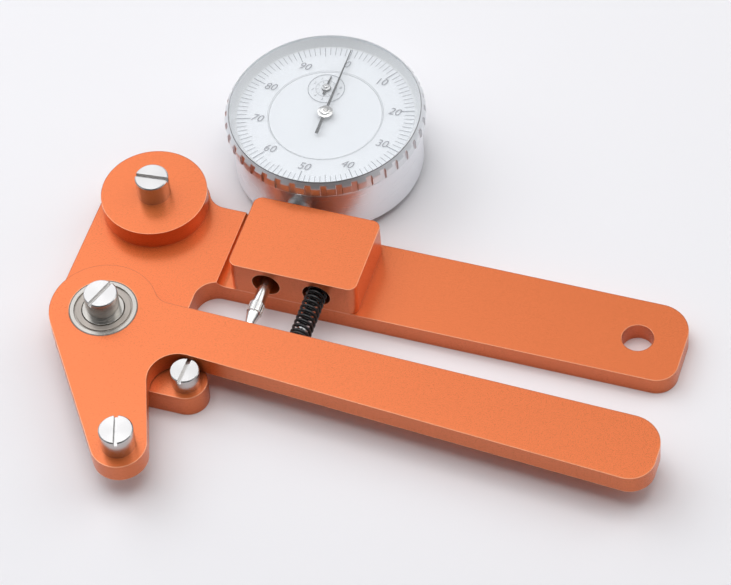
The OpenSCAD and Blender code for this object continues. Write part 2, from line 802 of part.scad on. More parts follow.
module guide_pin() {
    color(steel) at_gauge(axis_z) translate([-guide_out, guide_y, 0])
        rotate([0, 90, 0]) cylinder(r = guide_r - fit, h = guide_out - run);
}

module spindle_spring() {
    od = 2.7;
    wire = 0.3;
    pitch = 0.8;
    color(steel) at_gauge(axis_z) translate([anchor_x, 0, 0])
        spring(od, wire, pitch, anchor_at[1] + guide_r + soft / 2, guide_y - guide_r - soft / 2,
            "spindle spring");
}

module lower_bridge() {
    color(brass) at_gauge(bridge_z) difference() {
        union() {
            cylinder(r = bridge_r, h = bridge_t);
            translate([anchor_x, anchor_at[1], bridge_t - fit])
                cylinder(r = guide_r, h = axis_z - bridge_z - bridge_t + 1);
        }
        for (p = [counter_at, take_up_at]) translate([p[0], p[1], -cut])
            cylinder(r = pivot_r + run, h = bridge_t + 2 * cut);
        for (p = pillars_at) translate([p[0], p[1], -cut])
            cylinder(r = bridge_screw_r + run, h = bridge_t + 2 * cut);
    }
}

module guide_rail() {
    color(steel) at_gauge() difference() {
        translate([rail_x, guide_y - rail_before, bridge_z + bridge_t])
            cube([rail_t, rail_len, train_z - bridge_z - bridge_t - 0.1]);
        translate([rail_x - cut, guide_y - guide_r - soft, axis_z - guide_r - run])
            cube([rail_t + 2 * cut, rail_slot, 2 * (guide_r + run)]);
    }
}

module movement_pillars() {
    foot = bridge_z + bridge_t;
    color(brass) at_gauge() for (p = pillars_at) translate([p[0], p[1], foot]) difference() {
        union() {
            cylinder(r = pillar_r, h = train_z - foot);
            cylinder(r = pillar_neck_r, h = wall_z + pillar_in - foot);
        }
        translate([0, 0, -cut]) cylinder(r = bridge_screw_r, h = bridge_screw_in + 0.7 + cut);
    }
}

module pillar_spacers() {
    color(brass) at_gauge(train_z + train_t) for (p = pillars_at) translate([p[0], p[1], 0])
        tube(pillar_r - 0.1, pillar_neck_r + run, wall_z - train_z - train_t);
}

module bridge_screws() {
    head = bridge_screw_head;
    slot = 0.4;
    color(steel) at_gauge(bridge_z - head) for (p = pillars_at) translate([p[0], p[1], 0]) difference() {
        union() {
            cylinder(r = pillar_r - 0.3, h = head);
            cylinder(r = bridge_screw_r - fit, h = head + bridge_t + bridge_screw_in);
        }
        translate([-pillar_r, -slot / 2, -cut]) cube([2 * pillar_r, slot, cut + slot]);
    }
}

module train_plate() {
    color(brass) at_gauge(train_z) difference() {
        cylinder(r = norm(pillars_at[2]) + pillar_r, h = train_t);
        for (p = [counter_at, take_up_at]) translate([p[0], p[1], -cut])
            cylinder(r = shaft_r + run, h = train_t + 2 * cut);
        translate([0, 0, -cut]) cylinder(r = pivot_r + run, h = train_t + 2 * cut);
        for (p = pillars_at) translate([p[0], p[1], -cut])
            cylinder(r = pillar_neck_r + run, h = train_t + 2 * cut);
    }
}

// A shaft that turns in the lower bridge and reaches up to z_top
module bridge_shaft(z_top) {
    foot = bridge_z + bridge_t + 0.1;
    translate([0, 0, bridge_z]) cylinder(r = pivot_r, h = foot - bridge_z + 0.1);
    translate([0, 0, foot]) cylinder(r = shaft_r, h = z_top - foot);
}

module counter_gear() {
    color(brass) at_gauge() translate([counter_at[0], counter_at[1], 0]) {
        bridge_shaft(counter_z + pointer_t + soft);
        translate([0, 0, axis_z - pinion_h / 2]) toothed(pinion_r, pinion_teeth, pinion_h);
        translate([0, 0, wheel_z]) toothed(wheel_r, wheel_teeth, wheel_t);
    }
}

module centre_pinion() {
    top = train_z + train_t + 0.1;
    color(steel) at_gauge() {
        translate([0, 0, train_z]) cylinder(r = pivot_r, h = train_t + 0.2);
        translate([0, 0, top]) cylinder(r = shaft_r - 0.05, h = pointer_z + 0.7 - top);
        translate([0, 0, wheel_z - 0.2]) toothed(centre_r, centre_teeth, wheel_t + 0.4);
    }
}

module take_up_wheel() {
    color(brass) at_gauge() translate([take_up_at[0], take_up_at[1], 0]) {
        bridge_shaft(wall_z - 0.1);
        translate([0, 0, wall_z - 0.2]) cylinder(r = pivot_r, h = 0.7);
        translate([0, 0, axis_z + 0.3]) cylinder(r = 2 * shaft_r, h = 1.2);
        translate([0, 0, wheel_z]) toothed(wheel_r, wheel_teeth, wheel_t);
    }
}

module hairspring() {
    ribbon = 0.12;
    turns = 4;
    steps = 24 * turns;
    start = 2 * shaft_r + fit;
    growth = 2.6 / steps;
    inner = [for (i = [0 : steps]) polar(start + i * growth, i * 15)];
    outer = [for (i = [steps : -1 : 0]) polar(start + ribbon + i * growth, i * 15)];
    color("#5a6b86") at_gauge() translate([take_up_at[0], take_up_at[1], axis_z + 0.6])
        linear_extrude(0.6) polygon(concat(inner, outer));
}

module dial_face() {
    color("white") at_gauge(face_z) difference() {
        cylinder(r = face_r, h = face_t);
        translate([0, 0, -cut]) cylinder(r = shaft_r + soft, h = face_t + 2 * cut);
        translate([counter_at[0], counter_at[1], -cut]) cylinder(r = shaft_r + soft, h = face_t + 2 * cut);
    }
}

module scale_ring() {
    color("white") at_gauge(face_z) tube(scale_r, face_r + 0.1, face_t);
}

// A pointer along +Y with a tail, a hub and a cap, on a shaft of radius bore
module pointer(length, tail, width, hub, cap_h, bore) {
    difference() {
        union() {
            linear_extrude(pointer_t) {
                polygon([[-width, 0], [-width / 4, length], [width / 4, length], [width, 0]]);
                polygon([[-width, 0], [width, 0], [width, -tail], [-width, -tail]]);
            }
            cylinder(r = hub, h = pointer_t);
            cylinder(r = hub * 0.6, h = cap_h);
        }
        translate([0, 0, -cut]) cylinder(r = bore, h = cap_h + 2 * cut);
    }
}

module main_pointer() {
    color("#222222") at_gauge(pointer_z)
        pointer(pointer_len, pointer_tail, 0.42, 1.9, 0.6, shaft_r - 0.05 + fit);
}

module counter_pointer() {
    color("#222222") at_gauge(counter_z) translate([counter_at[0], counter_at[1], 0])
        pointer(counter_len, counter_tail, 0.4, 1.3, pointer_t + 0.1, shaft_r + fit);
}

module bezel() {
    ledge = face_z - soft;
    seat = scale_r - 0.6;
    color("#dcdee1") at_gauge() difference() {
        rotate_extrude() polygon([[neck_r + run, bezel_z], [bezel_r - foot_in, bezel_z],
            [bezel_r - foot_in / 2, band_z - 1], [bezel_r, band_z], [bezel_r, band_top],
            [crystal_r + rim_w, bezel_top], [crystal_r, bezel_top],
            [crystal_r, crystal_z], [crystal_r - 0.6, crystal_z], [scale_r + 0.3, face_z + face_t],
            [scale_r + fit, face_z + face_t], [scale_r + fit, face_z], [seat, face_z],
            [seat, ledge], [neck_r + run, ledge]]);
        for (i = [0 : groove_count - 1]) rotate(groove_turn + i * 360 / groove_count)
            translate([bezel_r - groove_depth, -groove_w / 2, bezel_z - cut])
                cube([groove_depth + cut, groove_w, bezel_h]);
        retainer(retainer_r + run);
    }
}

module crystal() {
    color([0.85, 0.92, 0.96, 0.35]) at_gauge(crystal_z) cylinder(r = crystal_r - fit, h = crystal_t);
}

module retaining_ring() {
    color(steel) at_gauge() retainer(retainer_r);
}

body_plate();
gauge_block();
block_screws();
stem_set_screw();
spacer_disc();
disc_post();
pivot_post();
pivot_washer();
stop_pin();
lever();
lever_post();
spring_stud();
return_spring();
bearing_outer_ring();
bearing_inner_ring();
bearing_balls();
bearing_cage();
bearing_shields();
gauge_case();
gauge_stem();
upper_bush();
dust_cap();
back_cover();
back_screws();
spindle();
contact_point();
guide_pin();
spindle_spring();
lower_bridge();
guide_rail();
movement_pillars();
pillar_spacers();
bridge_screws();
train_plate();
counter_gear();
centre_pinion();
take_up_wheel();
hairspring();
dial_face();
scale_ring();
main_pointer();
counter_pointer();
bezel();
crystal();
retaining_ring();
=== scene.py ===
import bpy
import numpy as np
from mathutils import Matrix, Vector


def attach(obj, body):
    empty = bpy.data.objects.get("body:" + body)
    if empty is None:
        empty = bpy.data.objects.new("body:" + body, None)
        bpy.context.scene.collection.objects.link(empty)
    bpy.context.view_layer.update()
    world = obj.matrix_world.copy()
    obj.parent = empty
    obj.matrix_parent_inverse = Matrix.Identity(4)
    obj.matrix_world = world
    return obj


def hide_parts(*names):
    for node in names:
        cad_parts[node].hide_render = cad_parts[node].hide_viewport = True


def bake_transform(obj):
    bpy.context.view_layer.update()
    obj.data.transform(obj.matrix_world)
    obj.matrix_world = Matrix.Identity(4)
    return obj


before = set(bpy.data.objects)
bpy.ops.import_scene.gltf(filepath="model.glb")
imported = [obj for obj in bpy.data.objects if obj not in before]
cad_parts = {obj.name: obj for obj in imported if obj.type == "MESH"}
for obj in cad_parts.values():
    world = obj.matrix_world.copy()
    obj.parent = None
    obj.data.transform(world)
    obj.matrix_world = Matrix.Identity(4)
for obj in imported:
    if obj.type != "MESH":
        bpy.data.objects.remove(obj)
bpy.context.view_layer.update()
mm = 0.001
tau = 2 * np.pi

# Centres that several pieces share, in mm
places = {
    "pivot": (0, 0),
    "disc": (-0.5, 42.4),
    "leverPost": (19.8, -41.6),
    "stop": (28.3, -13.35),
    "gauge": (39.8, 76.0),
    "counter": (37.0, 85.39),
    "spring": (54.4, 11.2),  # x and z of the return spring's line, which runs along Y
    "spindleSpring": (32.8, 11.2),  # x and z again
}


def addPiece(name, points, faces, body, material, smooth=True):
    # points is an (n, 3) array in metres, faces a list of corner index tuples
    mesh = bpy.data.meshes.new(name)
    mesh.from_pydata(points.tolist(), [], faces)
    mesh.polygons.foreach_set("use_smooth", np.full(len(mesh.polygons), smooth))
    mesh.update()
    piece = bpy.data.objects.new(name, mesh)
    bpy.context.scene.collection.objects.link(piece)
    mesh.materials.append(material)
    if body:
        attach(piece, body)
    return piece


def gridFaces(rows, columns, wrapRows=False, wrapColumns=True):
    # quads between neighbouring points of a rows x columns grid
    i = np.arange(rows if wrapRows else rows - 1)
    j = np.arange(columns if wrapColumns else columns - 1)
    i, j = np.meshgrid(i, j, indexing="ij")
    nextI, nextJ = (i + 1) % rows, (j + 1) % columns
    quads = np.stack([i * columns + j, i * columns + nextJ, nextI * columns + nextJ, nextI * columns + j], -1)
    return quads.reshape(-1, 4).tolist()


def turned(profile, columns, centre):
    # a profile of (radius, z) pairs carried once round a vertical axis: x = r cos a, y = r sin a
    profile = np.array(profile, float)
    angle = np.linspace(0, tau, columns, endpoint=False)
    radius, height = profile[:, :1], profile[:, 1:]
    x = centre[0] + radius * np.cos(angle)
    y = centre[1] + radius * np.sin(angle)
    return np.stack([x, y, np.broadcast_to(height, x.shape)], -1).reshape(-1, 3) * mm


def turnedPiece(name, profile, columns, centre, body, material, sharp):
    # a closed profile carried round, with sharp edges where it bends by more than some degrees
    piece = addPiece(name, turned(profile, columns, centre), gridFaces(len(profile), columns, wrapRows=True),
                     body, material)
    outward(piece)
    piece.data.set_sharp_from_angle(angle=np.radians(sharp))
    return piece


def wireAlong(path, radius, sides):
    # a round tube round a path: each ring is square to the path's own direction, and the
    # two ends are closed by their first and last ring drawn in to a point
    path = np.array(path, float)
    along = np.gradient(path, axis=0)
    along /= np.linalg.norm(along, axis=1, keepdims=True)
    sideways = np.cross(along, [0, 1, 0])
    sideways /= np.linalg.norm(sideways, axis=1, keepdims=True)
    upwards = np.cross(sideways, along)
    angle = np.linspace(0, tau, sides, endpoint=False)[None, :, None]
    rings = path[:, None] + radius * (np.cos(angle) * sideways[:, None] + np.sin(angle) * upwards[:, None])
    count = len(path)
    tips = [path[:1] - along[:1] * radius / 2, path[-1:] + along[-1:] * radius / 2]
    points = np.concatenate([rings.reshape(-1, 3), *tips])
    faces = gridFaces(count, sides)
    faces += [(count * sides, (k + 1) % sides, k) for k in range(sides)]
    last = (count - 1) * sides
    faces += [(count * sides + 1, last + k, last + (k + 1) % sides) for k in range(sides)]
    return points * mm, faces


def outward(piece):
    # turns every face of a closed piece outwards
    bpy.context.view_layer.objects.active = piece
    bpy.ops.object.select_all(action="DESELECT")
    piece.select_set(True)
    bpy.ops.object.mode_set(mode="EDIT")
    bpy.ops.mesh.select_all(action="SELECT")
    bpy.ops.mesh.remove_doubles(threshold=1e-7)
    bpy.ops.mesh.normals_make_consistent(inside=False)
    bpy.ops.object.mode_set(mode="OBJECT")


class Finish:
    # a node tree with a Principled shader, and short ways to add to it
    def __init__(self, name, colour, metallic=0.0, roughness=0.4, **sockets):
        self.material = bpy.data.materials.new(name)
        self.material.use_nodes = True
        self.tree = self.material.node_tree
        self.shader = self.tree.nodes["Principled BSDF"]
        self.set("Base Color", (*colour, 1))
        self.set("Metallic", metallic)
        self.set("Roughness", roughness)
        for socket, value in sockets.items():
            self.set(socket.replace("_", " "), value)
        self.position = self.add("ShaderNodeTexCoord").outputs["Object"]

    def set(self, socket, value):
        self.shader.inputs[socket].default_value = value

    def add(self, kind, inputs=None, **settings):
        node = self.tree.nodes.new(kind)
        for key, value in settings.items():
            setattr(node, key, value)
        for key, value in (inputs or {}).items():
            if isinstance(value, bpy.types.NodeSocket):
                self.tree.links.new(value, node.inputs[key])
            else:
                node.inputs[key].default_value = value
        return node

    def link(self, output, socket):
        self.tree.links.new(output, self.shader.inputs[socket])

    def noise(self, scale, detail=3.0, roughness=0.55, position=None):
        return self.add("ShaderNodeTexNoise", {"Vector": position or self.position, "Scale": scale,
                                               "Detail": detail, "Roughness": roughness}).outputs["Fac"]

    def spread(self, value, low, high):
        return self.add("ShaderNodeMapRange", {"Value": value, "From Min": 0.3, "From Max": 0.7,
                                               "To Min": low, "To Max": high}).outputs["Result"]

    def stretched(self, centre, scale):
        # object position measured from a centre in mm, then scaled on each axis
        moved = self.add("ShaderNodeVectorMath", {0: self.position, 1: tuple(c * mm for c in centre)},
                         operation="SUBTRACT").outputs["Vector"]
        return self.add("ShaderNodeMapping", {"Vector": moved, "Scale": scale}).outputs["Vector"]

    def away(self, centre):
        # distance from the vertical axis through centre
        flat = self.stretched(centre, (1, 1, 0))
        return self.add("ShaderNodeVectorMath", {0: flat}, operation="LENGTH").outputs["Value"]

    def beyond(self, centre, radius, soft, near, far):
        # near inside a radius in mm round the axis, far outside it, softened over a width
        return self.add("ShaderNodeMapRange", {
            "Value": self.away(centre), "From Min": (radius - soft) * mm, "From Max": (radius + soft) * mm,
            "To Min": near, "To Max": far}).outputs["Result"]

    def turningMarks(self, centre, spacing):
        # lines round a vertical axis: noise of (distance from the axis, height), both over the spacing
        height = self.add("ShaderNodeSeparateXYZ", {0: self.position}).outputs["Z"]
        pair = self.add("ShaderNodeCombineXYZ", {"X": self.away(centre), "Y": height}).outputs["Vector"]
        return self.noise(1.0 / (spacing * mm), 2.0, 0.6, pair)

    def alongGrooves(self, centre, amount):
        # the shine of a turned face: its tangent runs round the vertical axis through centre
        around = self.add("ShaderNodeVectorMath", {0: (0, 0, 1), 1: self.stretched(centre, (1, 1, 0))},
                          operation="CROSS_PRODUCT").outputs["Vector"]
        tangent = self.add("ShaderNodeVectorMath", {0: around}, operation="NORMALIZE").outputs["Vector"]
        self.link(tangent, "Tangent")
        self.set("Anisotropic", amount)
        self.set("Anisotropic Rotation", 0.25)

    def bumps(self, height, distance, strength=1.0, edge=0.0):
        normal = None
        if edge:
            normal = self.add("ShaderNodeBevel", {"Radius": edge * mm}, samples=6).outputs["Normal"]
        inputs = {"Height": height, "Distance": distance * mm, "Strength": strength}
        if normal:
            inputs["Normal"] = normal
        self.link(self.add("ShaderNodeBump", inputs).outputs["Normal"], "Normal")

    def edgeMask(self, width, lean, front, turn):
        # 1 along sharp edges, 0 on open faces: how far the bevelled normal leans from the flat one.
        # The second value is 1 on edges that lean to the front, which get a painted highlight; edges that
        # lean away get a painted shade line
        bevel = self.add("ShaderNodeBevel", {"Radius": width * mm}, samples=6).outputs["Normal"]
        flat = self.add("ShaderNodeNewGeometry").outputs["True Normal"]
        masks = []
        for direction, (start, end) in ((flat, lean), (front, turn)):
            along = self.add("ShaderNodeVectorMath", {0: bevel, 1: direction}, operation="DOT_PRODUCT")
            masks.append(self.add("ShaderNodeMapRange", {"Value": along.outputs["Value"], "From Min": start,
                                                         "From Max": end}).outputs["Result"])
        return masks

    def seams(self, colour, reach, dark):
        # painted shade: darker in gaps and bores that are narrower than the reach, by ambient occlusion
        around = self.add("ShaderNodeAmbientOcclusion", {"Distance": reach * mm}, samples=6).outputs["AO"]
        light = self.add("ShaderNodeMapRange", {"Value": around, "From Min": 0.05, "From Max": 0.55,
                                                "To Min": 0.2, "To Max": 1.0}).outputs["Result"]
        return self.mix(light, dark, colour)

    def mix(self, amount, first, second):
        node = self.add("ShaderNodeMix", data_type="RGBA")
        for index, value in ((0, amount), (6, first), (7, second)):
            if isinstance(value, bpy.types.NodeSocket):
                self.tree.links.new(value, node.inputs[index])
            else:
                node.inputs[index].default_value = (*value, 1) if isinstance(value, tuple) else value
        return node.outputs[2]


anodised = {
    "colour": (0.73, 0.163, 0.036),
    "deep": (0.68, 0.145, 0.030),
    # the next two colours are painted light on sharp edges: a painted highlight where an edge leans to the
    # front, a painted shade where it leans away
    "paintedEdgeHighlight": (1.0, 0.56, 0.34),
    "shade": (0.12, 0.022, 0.008),
    "metallic": 0.5,
    "specular": 1.0,
    "roughness": (0.25, 0.34),
    # painted shade in gaps and bores: seam is the widest gap that gets it, and the colour below is the
    # shade's colour
    "seam": 5.0,  # widest gap that darkens, in mm
    "creaseShadeColour": (0.02, 0.01, 0.008),
    "cloud": 35.0,
    "grain": 0.14,
    "speck": 0.35,
    "edge": 0.5,
    "rim": 0.8,
    "lean": (0.98, 0.82),
    # the plan direction of the edges that get the painted highlight
    "front": (0.38, -0.92, 0),
    "turn": (-0.1, 0.15),
    "bump": (0.004, 0.5),
}


def anodisedFinish():
    f = Finish("anodisedOrange", anodised["colour"], anodised["metallic"])
    f.set("Specular IOR Level", anodised["specular"])
    cloud = f.spread(f.noise(anodised["cloud"], 2.0), 0.0, 1.0)
    grain = f.noise(1 / (anodised["grain"] * mm), 2.0, 0.7)
    speck = f.spread(grain, 0.0, anodised["speck"])
    body = f.mix(f.add("ShaderNodeMath", {0: cloud, 1: speck}, operation="MULTIPLY").outputs[0],
                 anodised["colour"], anodised["deep"])
    # painted edge light: the highlight colour on edges leaning to the front, the shade colour on the others,
    # mixed in by rim
    edge, leaning = f.edgeMask(anodised["edge"], anodised["lean"], anodised["front"], anodised["turn"])
    rim = f.add("ShaderNodeMath", {0: edge, 1: anodised["rim"]}, operation="MULTIPLY").outputs[0]
    line = f.mix(leaning, anodised["shade"], anodised["paintedEdgeHighlight"])
    f.link(f.seams(f.mix(rim, body, line), anodised["seam"], anodised["creaseShadeColour"]), "Base Color")
    f.link(f.spread(grain, *anodised["roughness"]), "Roughness")
    f.bumps(grain, *anodised["bump"])
    return f.material


steel = {
    "colour": (0.56, 0.55, 0.54),
    "roughness": (0.16, 0.24),
    "marks": 0.05,
    "edge": 0.15,
    "spread": 0.45,
    "ringColour": (0.05, 0.04, 0.035),
    "ringShare": 0.75,
    "matteMetallic": 0.2,
}


def turnedSteelFinish(name, centre, colour=None, roughness=None, spread=None, matteInside=0, darkRing=None):
    # metal with turning marks round a vertical axis through centre; it is matt inside the radius
    # matteInside and darker between the two radii of darkRing
    colour = colour or steel["colour"]
    f = Finish(name, colour, 1.0)
    marks = f.turningMarks(centre, steel["marks"])
    f.link(f.spread(marks, *(roughness or steel["roughness"])), "Roughness")
    f.alongGrooves(centre, spread or steel["spread"])
    f.bumps(marks, 0.0003, 0.5, steel["edge"])
    if matteInside:
        f.link(f.beyond(centre, matteInside, 0.04, steel["matteMetallic"], 1.0), "Metallic")
    if darkRing:
        inner = f.beyond(centre, darkRing[0], 0.06, 0.0, steel["ringShare"])
        outer = f.beyond(centre, darkRing[1], 0.06, 1.0, 0.0)
        ring = f.add("ShaderNodeMath", {0: inner, 1: outer}, operation="MULTIPLY").outputs[0]
        f.link(f.mix(ring, colour, steel["ringColour"]), "Base Color")
    return f.material


def satinMetalFinish(name, colour, roughness, scale, edge=0.2, metallic=1.0):
    # metal with fine lines; scale stretches the noise along one axis
    f = Finish(name, colour, metallic)
    lines = f.noise(1.0, 4.0, 0.6, f.stretched((0, 0, 0), scale))
    f.link(f.spread(lines, *roughness), "Roughness")
    f.bumps(lines, 0.0015, 0.5, edge)
    return f.material


def paintedFinish(name, colour, roughness=(0.4, 0.5), edge=0.1):
    f = Finish(name, colour)
    grain = f.noise(2500.0, 2.0)
    f.link(f.mix(f.spread(grain, 0.0, 0.06), colour, tuple(0.8 * c for c in colour)), "Base Color")
    f.link(f.spread(grain, *roughness), "Roughness")
    f.bumps(grain, 0.001, 0.3, edge)
    return f.material


gaugeAxis = (*places["gauge"], 0)
finishes = {
    "anodised": anodisedFinish(),
    "pivotPost": turnedSteelFinish("pivotPostSteel", (*places["pivot"], 0)),
    "discPost": turnedSteelFinish("discPostSteel", (*places["disc"], 0)),
    "leverPost": turnedSteelFinish("leverPostSteel", (*places["leverPost"], 0)),
    "stopPin": turnedSteelFinish("stopPinSteel", (*places["stop"], 0)),
    # the race's dark ring at its outer edge is painted shade in the gap round the bearing
    "race": turnedSteelFinish("raceSteel", (0, 0, 0), colour=(0.46, 0.44, 0.405), roughness=(0.2, 0.28),
                              darkRing=(9.18, 10)),
    "shield": turnedSteelFinish("shieldSteel", (0, 0, 0), colour=(0.37, 0.335, 0.30), roughness=(0.34, 0.44)),
    "spindle": satinMetalFinish("spindleSteel", (0.72, 0.71, 0.69), (0.14, 0.26), (9000, 300, 9000)),
    "plainSteel": satinMetalFinish("plainSteel", (0.62, 0.62, 0.62), (0.25, 0.4), (2500, 2500, 2500)),
    "case": satinMetalFinish("caseAluminium", (0.86, 0.87, 0.90), (0.26, 0.36), (60, 60, 5000), metallic=0.9),
    "bezel": turnedSteelFinish("bezelAluminium", gaugeAxis, colour=(0.76, 0.78, 0.80), roughness=(0.28, 0.36),
                               spread=0.3, matteInside=27.0, darkRing=(27.1, 27.3)),
    "cover": turnedSteelFinish("coverAluminium", gaugeAxis, colour=(0.76, 0.77, 0.79), roughness=(0.28, 0.4)),
    "brass": satinMetalFinish("brass", (0.78, 0.57, 0.26), (0.22, 0.34), (2500, 2500, 400)),
    "blued": satinMetalFinish("bluedSteel", (0.10, 0.14, 0.30), (0.2, 0.3), (2500, 2500, 2500)),
    "blackWire": satinMetalFinish("blackWire", (0.012, 0.012, 0.013), (0.22, 0.34), (4000, 4000, 4000),
                                  edge=0.0, metallic=0.2),
    "dialWhite": paintedFinish("dialWhite", (0.79, 0.82, 0.86)),
    "needle": paintedFinish("needleBlack", (0.012, 0.013, 0.016), (0.3, 0.4)),
    "ink": paintedFinish("dialInk", (0.33, 0.34, 0.37), (0.5, 0.6), 0.0),
    "fineInk": paintedFinish("fineDialInk", (0.24, 0.26, 0.29), (0.5, 0.6), 0.0),
}


def crystalFinish():
    f = Finish("clearCrystal", (0.95, 0.98, 1.0), 0.0, 0.02, IOR=1.49, Alpha=0.10)
    dust = f.noise(600.0, 2.0)
    f.link(f.spread(dust, 0.015, 0.04), "Roughness")
    return f.material


finishes["crystal"] = crystalFinish()

dressing = {
    "anodised": "body_plate gauge_block spacer_disc lever",
    "pivotPost": "pivot_post",
    "discPost": "disc_post",
    "leverPost": "lever_post",
    "stopPin": "stop_pin",
    "race": "bearing_outer_ring bearing_inner_ring bearing_balls pivot_washer",
    "shield": "bearing_shields",
    "spindle": "spindle contact_point gauge_stem",
    "plainSteel": "block_screws stem_set_screw spring_stud upper_bush back_screws guide_pin guide_rail "
                  "bridge_screws centre_pinion retaining_ring",
    "case": "gauge_case dust_cap",
    "cover": "back_cover",
    "bezel": "bezel",
    "brass": "bearing_cage lower_bridge movement_pillars pillar_spacers train_plate counter_gear "
             "take_up_wheel",
    "blued": "hairspring",
    "blackWire": "return_spring spindle_spring",
    "dialWhite": "dial_face scale_ring",
    "needle": "main_pointer counter_pointer",
    "crystal": "crystal",
}
for finish, nodes in dressing.items():
    for node in nodes.split():
        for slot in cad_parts[node].material_slots:
            slot.material = finishes[finish]
print("materials:", len(finishes), "finishes on the model's nodes")


# fitted to the photo: focal length and width in pixels, angles in degrees, lengths in mm
view = {
    "focal": 3482.1,
    "width": 731,
    "sensor": 36,
    "elevation": 52.30,
    "azimuth": -22.30,
    "roll": -5.7625,
    "distance": 968.45,
    "target": (63.897, 33.650, 0.0),
}


def placeCamera():
    # looks along fwd, with the arm's direction turned by azimuth in plan and the frame rolled
    e, a, r = np.radians([view["elevation"], view["azimuth"], view["roll"]])
    right = np.array([np.cos(a), -np.sin(a), 0])
    ahead = np.array([np.sin(a), np.cos(a), 0])
    down = np.array([0, 0, 1.0])
    fwd = np.cos(e) * ahead - np.sin(e) * down
    up = np.sin(e) * ahead + np.cos(e) * down
    right, up = np.cos(r) * right + np.sin(r) * up, -np.sin(r) * right + np.cos(r) * up
    lens = bpy.data.cameras.new("photoCamera")
    lens.sensor_width = view["sensor"]
    lens.lens = view["focal"] / view["width"] * view["sensor"]
    lens.clip_end = 10
    camera = bpy.data.objects.new("photoCamera", lens)
    place = (np.array(view["target"]) - view["distance"] * fwd) * mm
    rows = [[right[k], up[k], -fwd[k], place[k]] for k in range(3)]
    camera.matrix_world = Matrix(rows + [[0, 0, 0, 1]])
    bpy.context.scene.collection.objects.link(camera)
    bpy.context.scene.camera = camera


lampAim = (0.06, 0.03, 0)
warm, cool = (1.0, 0.99, 0.98), (0.99, 0.99, 1.0)
# mirrored says whether shiny faces show the lamp itself; in place of the two left lamps they show
# the sky's window
lamps = {
    "overhead": {"at": (0.06, 0.068, 1.10), "size": 0.8, "power": 6.1, "colour": warm, "mirrored": True},
    "backLeft": {"at": (-0.577, 0.476, 0.778), "size": 0.7, "power": 2.8, "colour": cool, "mirrored": False},
    "leftWindow": {"at": (-0.73, 0.0, 0.79), "size": 0.9, "power": 3.4, "colour": cool, "mirrored": False},
    "backRight": {"at": (0.68, 0.54, 0.76), "size": 0.9, "power": 3.4, "colour": warm, "mirrored": True},
}


def placeLamps():
    for name, lamp in lamps.items():
        light = bpy.data.lights.new(name, "AREA")
        light.size, light.energy, light.color = lamp["size"], lamp["power"], lamp["colour"]
        holder = bpy.data.objects.new(name, light)
        holder.visible_glossy = lamp["mirrored"]
        turn = (Vector(lampAim) - Vector(lamp["at"])).to_track_quat("-Z", "Y").to_matrix().to_4x4()
        holder.matrix_world = Matrix.Translation(lamp["at"]) @ turn
        bpy.context.scene.collection.objects.link(holder)


# What shiny faces mirror: a dim room, dark towards darkAt and bright towards windowAt. The three
# numbers of dark and window are the cosines between which it fades in, and how many times the room
sky = {
    "light": 0.14,
    "shown": 1.0,
    "colour": (0.93, 0.94, 0.97),
    "room": 0.48,
    "darkAt": (0.20, -0.85, 0.487),
    "dark": (0.62, 0.9, 0.3),
    "windowAt": (-0.62, 0.35, 0.70),
    "window": (0.875, 0.93, 4.4),
}


def makeSky():
    world = bpy.data.worlds.new("studio")
    world.use_nodes = True
    tree = world.node_tree

    def add(kind, inputs, **settings):
        node = tree.nodes.new(kind)
        for key, value in settings.items():
            setattr(node, key, value)
        for key, value in inputs.items():
            if isinstance(value, bpy.types.NodeSocket):
                tree.links.new(value, node.inputs[key])
            else:
                node.inputs[key].default_value = value
        return node.outputs

    path = tree.nodes.new("ShaderNodeLightPath").outputs
    where = tree.nodes.new("ShaderNodeTexCoord").outputs["Generated"]
    mirrored = sky["room"]
    zones = (sky["darkAt"], sky["dark"]), (sky["windowAt"], sky["window"])
    for place, (start, end, share) in zones:
        towards = add("ShaderNodeVectorMath", {0: where, 1: place}, operation="DOT_PRODUCT")["Value"]
        limits = {"Value": towards, "From Min": start, "From Max": end, "To Min": 1.0, "To Max": share}
        factor = add("ShaderNodeMapRange", limits, interpolation_type="SMOOTHSTEP")["Result"]
        mirrored = add("ShaderNodeMath", {0: mirrored, 1: factor}, operation="MULTIPLY")[0]
    rays = {0: path["Is Camera Ray"], 1: path["Is Transmission Ray"]}
    seen = add("ShaderNodeMath", rays, operation="MAXIMUM")[0]
    limits = {"Value": seen, "To Min": sky["light"], "To Max": sky["shown"]}
    plain = add("ShaderNodeMapRange", limits)["Result"]
    level = add("ShaderNodeMix", {0: path["Is Glossy Ray"], 2: plain, 3: mirrored}, data_type="FLOAT")[0]
    background = tree.nodes["Background"]
    background.inputs["Color"].default_value = (*sky["colour"], 1)
    tree.links.new(level, background.inputs["Strength"])
    bpy.context.scene.world = world


# Size and glow distances in metres, drop in mm. The far floor shines a little, so that it stays
# pale beyond the lamps: glow is its strength from glowTo outwards
floor = {
    "size": 8.0,
    "drop": 0.02,
    "colour": (0.84, 0.84, 0.87),
    "glow": 0.6,
    "glowFrom": 0.45,
    "glowTo": 2.2,
}


def makeFloor():
    corners = np.array([(-1, -1), (1, -1), (1, 1), (-1, 1)]) * floor["size"] / 2
    points = np.column_stack([corners, np.full(4, -floor["drop"] * mm)])
    f = Finish("paleFloor", floor["colour"], 0.0, 0.6)
    f.link(f.spread(f.noise(20.0), 0.55, 0.65), "Roughness")
    f.set("Emission Color", (*sky["colour"], 1))
    glow = f.add("ShaderNodeMapRange", {"Value": f.away((0, 0, 0)), "From Min": floor["glowFrom"],
                                        "From Max": floor["glowTo"], "To Max": floor["glow"]})
    f.link(glow.outputs["Result"], "Emission Strength")
    addPiece("floor", points, [(0, 1, 2, 3)], None, f.material, False)


placeCamera()
placeLamps()
makeSky()
makeFloor()
bpy.context.scene.view_settings.view_transform = "Standard"
print("camera, lamps, sky and floor")
